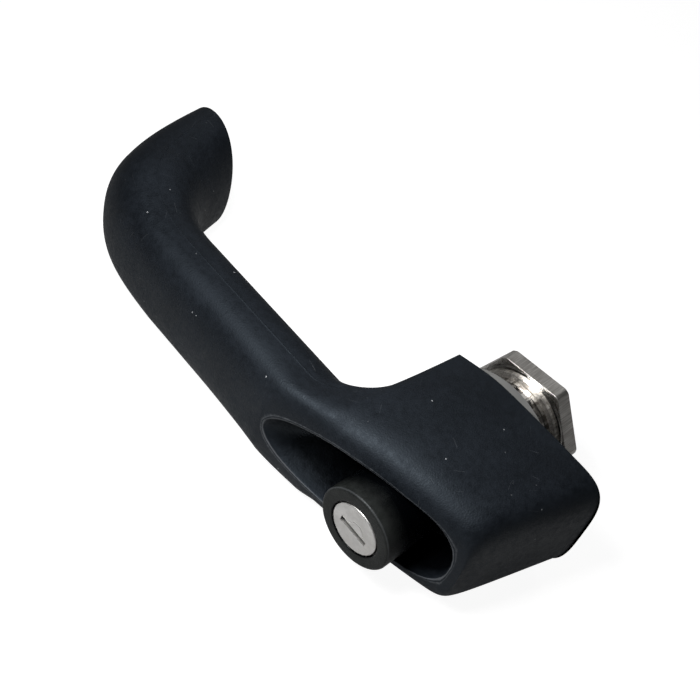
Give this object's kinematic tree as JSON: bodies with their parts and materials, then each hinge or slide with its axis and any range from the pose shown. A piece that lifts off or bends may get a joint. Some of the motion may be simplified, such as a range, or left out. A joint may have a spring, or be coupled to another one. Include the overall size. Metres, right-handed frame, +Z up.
{
  "type": "door handle",
  "caption": "Moulded pull handle for a cab door with a sprung push button, a key lock in the button and a threaded barrel with a hex nut that clamps the base to the door.",
  "frame": {"origin": "on the lock axis, at the door plane, which is the back of the base and of the foot", "axes": "+X along the handle from the foot to the lock end, +Y along the lock axis into the door, +Z up across the handle"},
  "size_m": [0.1666, 0.0742, 0.0424],
  "materials": {
    "black_moulding": "fine moulded grain, satin, scuffed and dusty",
    "button_moulding": "fine moulded grain, rubbed at the front edge",
    "barrel_chrome": "bright plated, turned",
    "nickel_steel": "nickel plated, finely lined",
    "lock_nickel": "satin nickel, fine marks of use",
    "lock_zinc": "die cast, plain",
    "spring_steel": "plain drawn wire and pins",
    "insert_brass": "turned brass",
    "wafer_brass": "stamped brass",
    "pale_washer": "pale grey nylon",
    "seal_rubber": "plain black rubber"
  },
  "bodies": {
    "handle": {"handle_body": "black_moulding", "foot_insert": "insert_brass", "barrel": "barrel_chrome", "base_washer": "pale_washer", "nut_washer": "nickel_steel", "clamp_nut": "nickel_steel", "guide_seal": "seal_rubber", "return_spring": "spring_steel", "spring_seat": "nickel_steel", "rod_bush": "pale_washer"},
    "button": {"push_button": "button_moulding", "lock_sleeve": "lock_zinc", "sleeve_pin": "spring_steel"},
    "plug": {"key_plug": "lock_nickel", "wafer_tumblers": "wafer_brass", "wafer_springs": "spring_steel", "shutter_pin": "spring_steel", "shutter_spring": "spring_steel", "tail_clip": "spring_steel", "push_rod": "nickel_steel", "rod_pin": "spring_steel"},
    "shutter": {"dust_shutter": "lock_nickel"}
  },
  "joints": [
    {"name": "button_push", "type": "slide", "parent": "handle", "child": "button", "axis": [0, 1, 0], "range_m": [0, 0.008], "stiffness_N_per_m": 1500, "springref_m": -0.004, "deforming": ["return_spring"]},
    {"name": "key_turn", "type": "hinge", "parent": "button", "child": "plug", "pos_m": [0, -0.04858, 0], "axis": [0, 1, 0], "range_deg": [0, 90]},
    {"name": "shutter_flip", "type": "hinge", "parent": "plug", "child": "shutter", "pos_m": [0.00007, -0.04703, 0.0008], "axis": [0.9962, 0, -0.0872], "range_deg": [0, 85], "stiffness_Nm_per_rad": 0.002, "springref_deg": -20.05}
  ]
}
